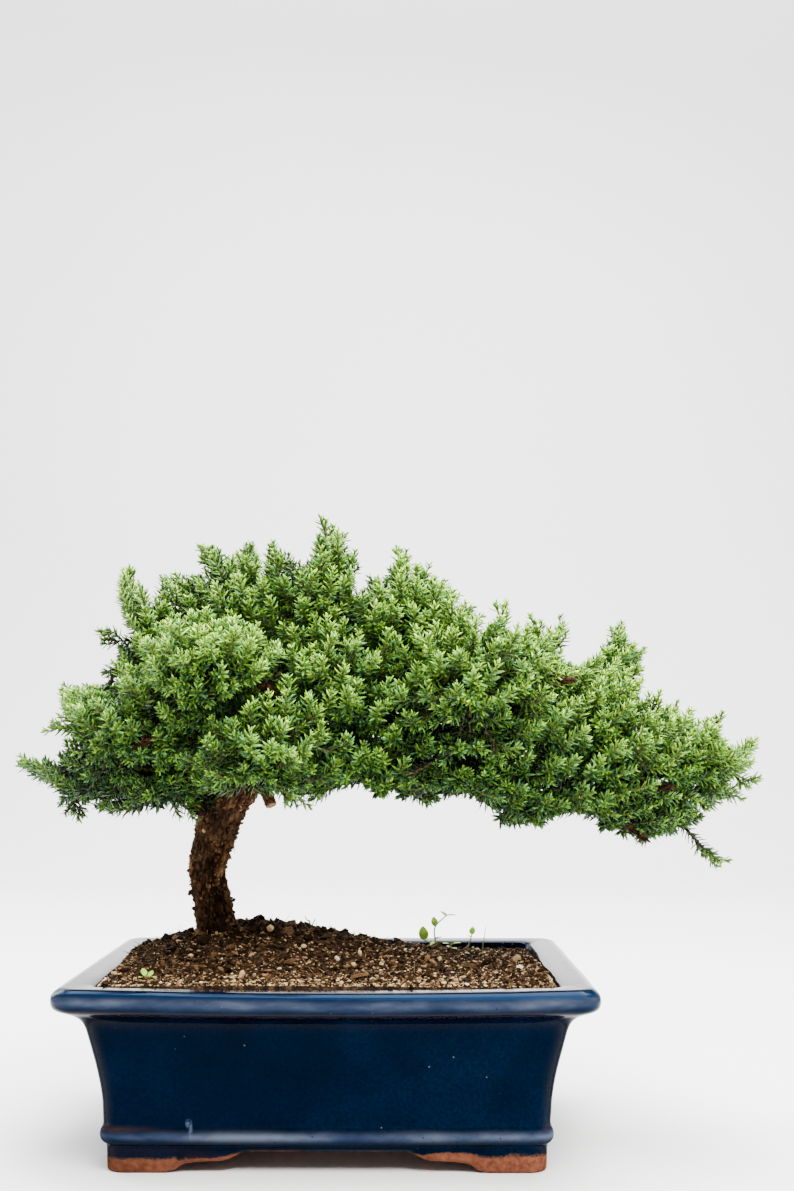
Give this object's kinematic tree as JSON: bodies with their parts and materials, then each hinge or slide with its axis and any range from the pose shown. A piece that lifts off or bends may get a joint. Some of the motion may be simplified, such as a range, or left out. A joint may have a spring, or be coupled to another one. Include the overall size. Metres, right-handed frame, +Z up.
{
  "type": "bonsai tree in a pot",
  "caption": "Juniper bonsai with a leaning trunk and spreading sprays of needles, planted in soil in a glazed rectangular pot on bracket feet.",
  "frame": {"origin": "on the surface that the feet stand on, under the middle of the whole bonsai's box", "axes": "+Z up, +X along the pot's long side towards the long low branch, +Y from the pot's front to its back"},
  "size_m": [0.3124, 0.1524, 0.256],
  "materials": {
    "glaze": "glossy cobalt blue glaze over terracotta, bare at the feet",
    "bark": "rough flaking bark",
    "soil": "coarse bark soil with pale grit",
    "screen": "matt",
    "dead_wood": "dry twig",
    "seedling": "soft thin leaves",
    "needles": "waxy evergreen needles"
  },
  "bodies": {
    "root": {"pot": "glaze", "tree": "bark", "soil": "soil", "drain_screen_1": "screen", "drain_screen_2": "screen", "dead_twig": "dead_wood", "seedling_tall": "seedling", "seedling_low": "seedling", "seedling_front": "seedling", "spray_01": "needles", "spray_02": "needles", "spray_03": "needles", "spray_04": "needles", "spray_05": "needles", "spray_06": "needles", "spray_07": "needles", "spray_08": "needles", "spray_09": "needles", "spray_10": "needles", "spray_11": "needles", "spray_12": "needles", "spray_13": "needles", "spray_14": "needles", "spray_15": "needles", "spray_16": "needles", "spray_17": "needles", "spray_18": "needles", "spray_19": "needles", "spray_20": "needles", "spray_21": "needles", "spray_22": "needles", "spray_23": "needles", "spray_24": "needles", "spray_25": "needles", "spray_26": "needles", "spray_27": "needles", "spray_28": "needles", "spray_29": "needles", "spray_30": "needles", "spray_31": "needles", "spray_32": "needles", "spray_33": "needles", "spray_34": "needles", "spray_35": "needles", "spray_36": "needles", "spray_37": "needles", "spray_38": "needles", "spray_39": "needles", "spray_40": "needles", "spray_41": "needles"}
  },
  "joints": []
}
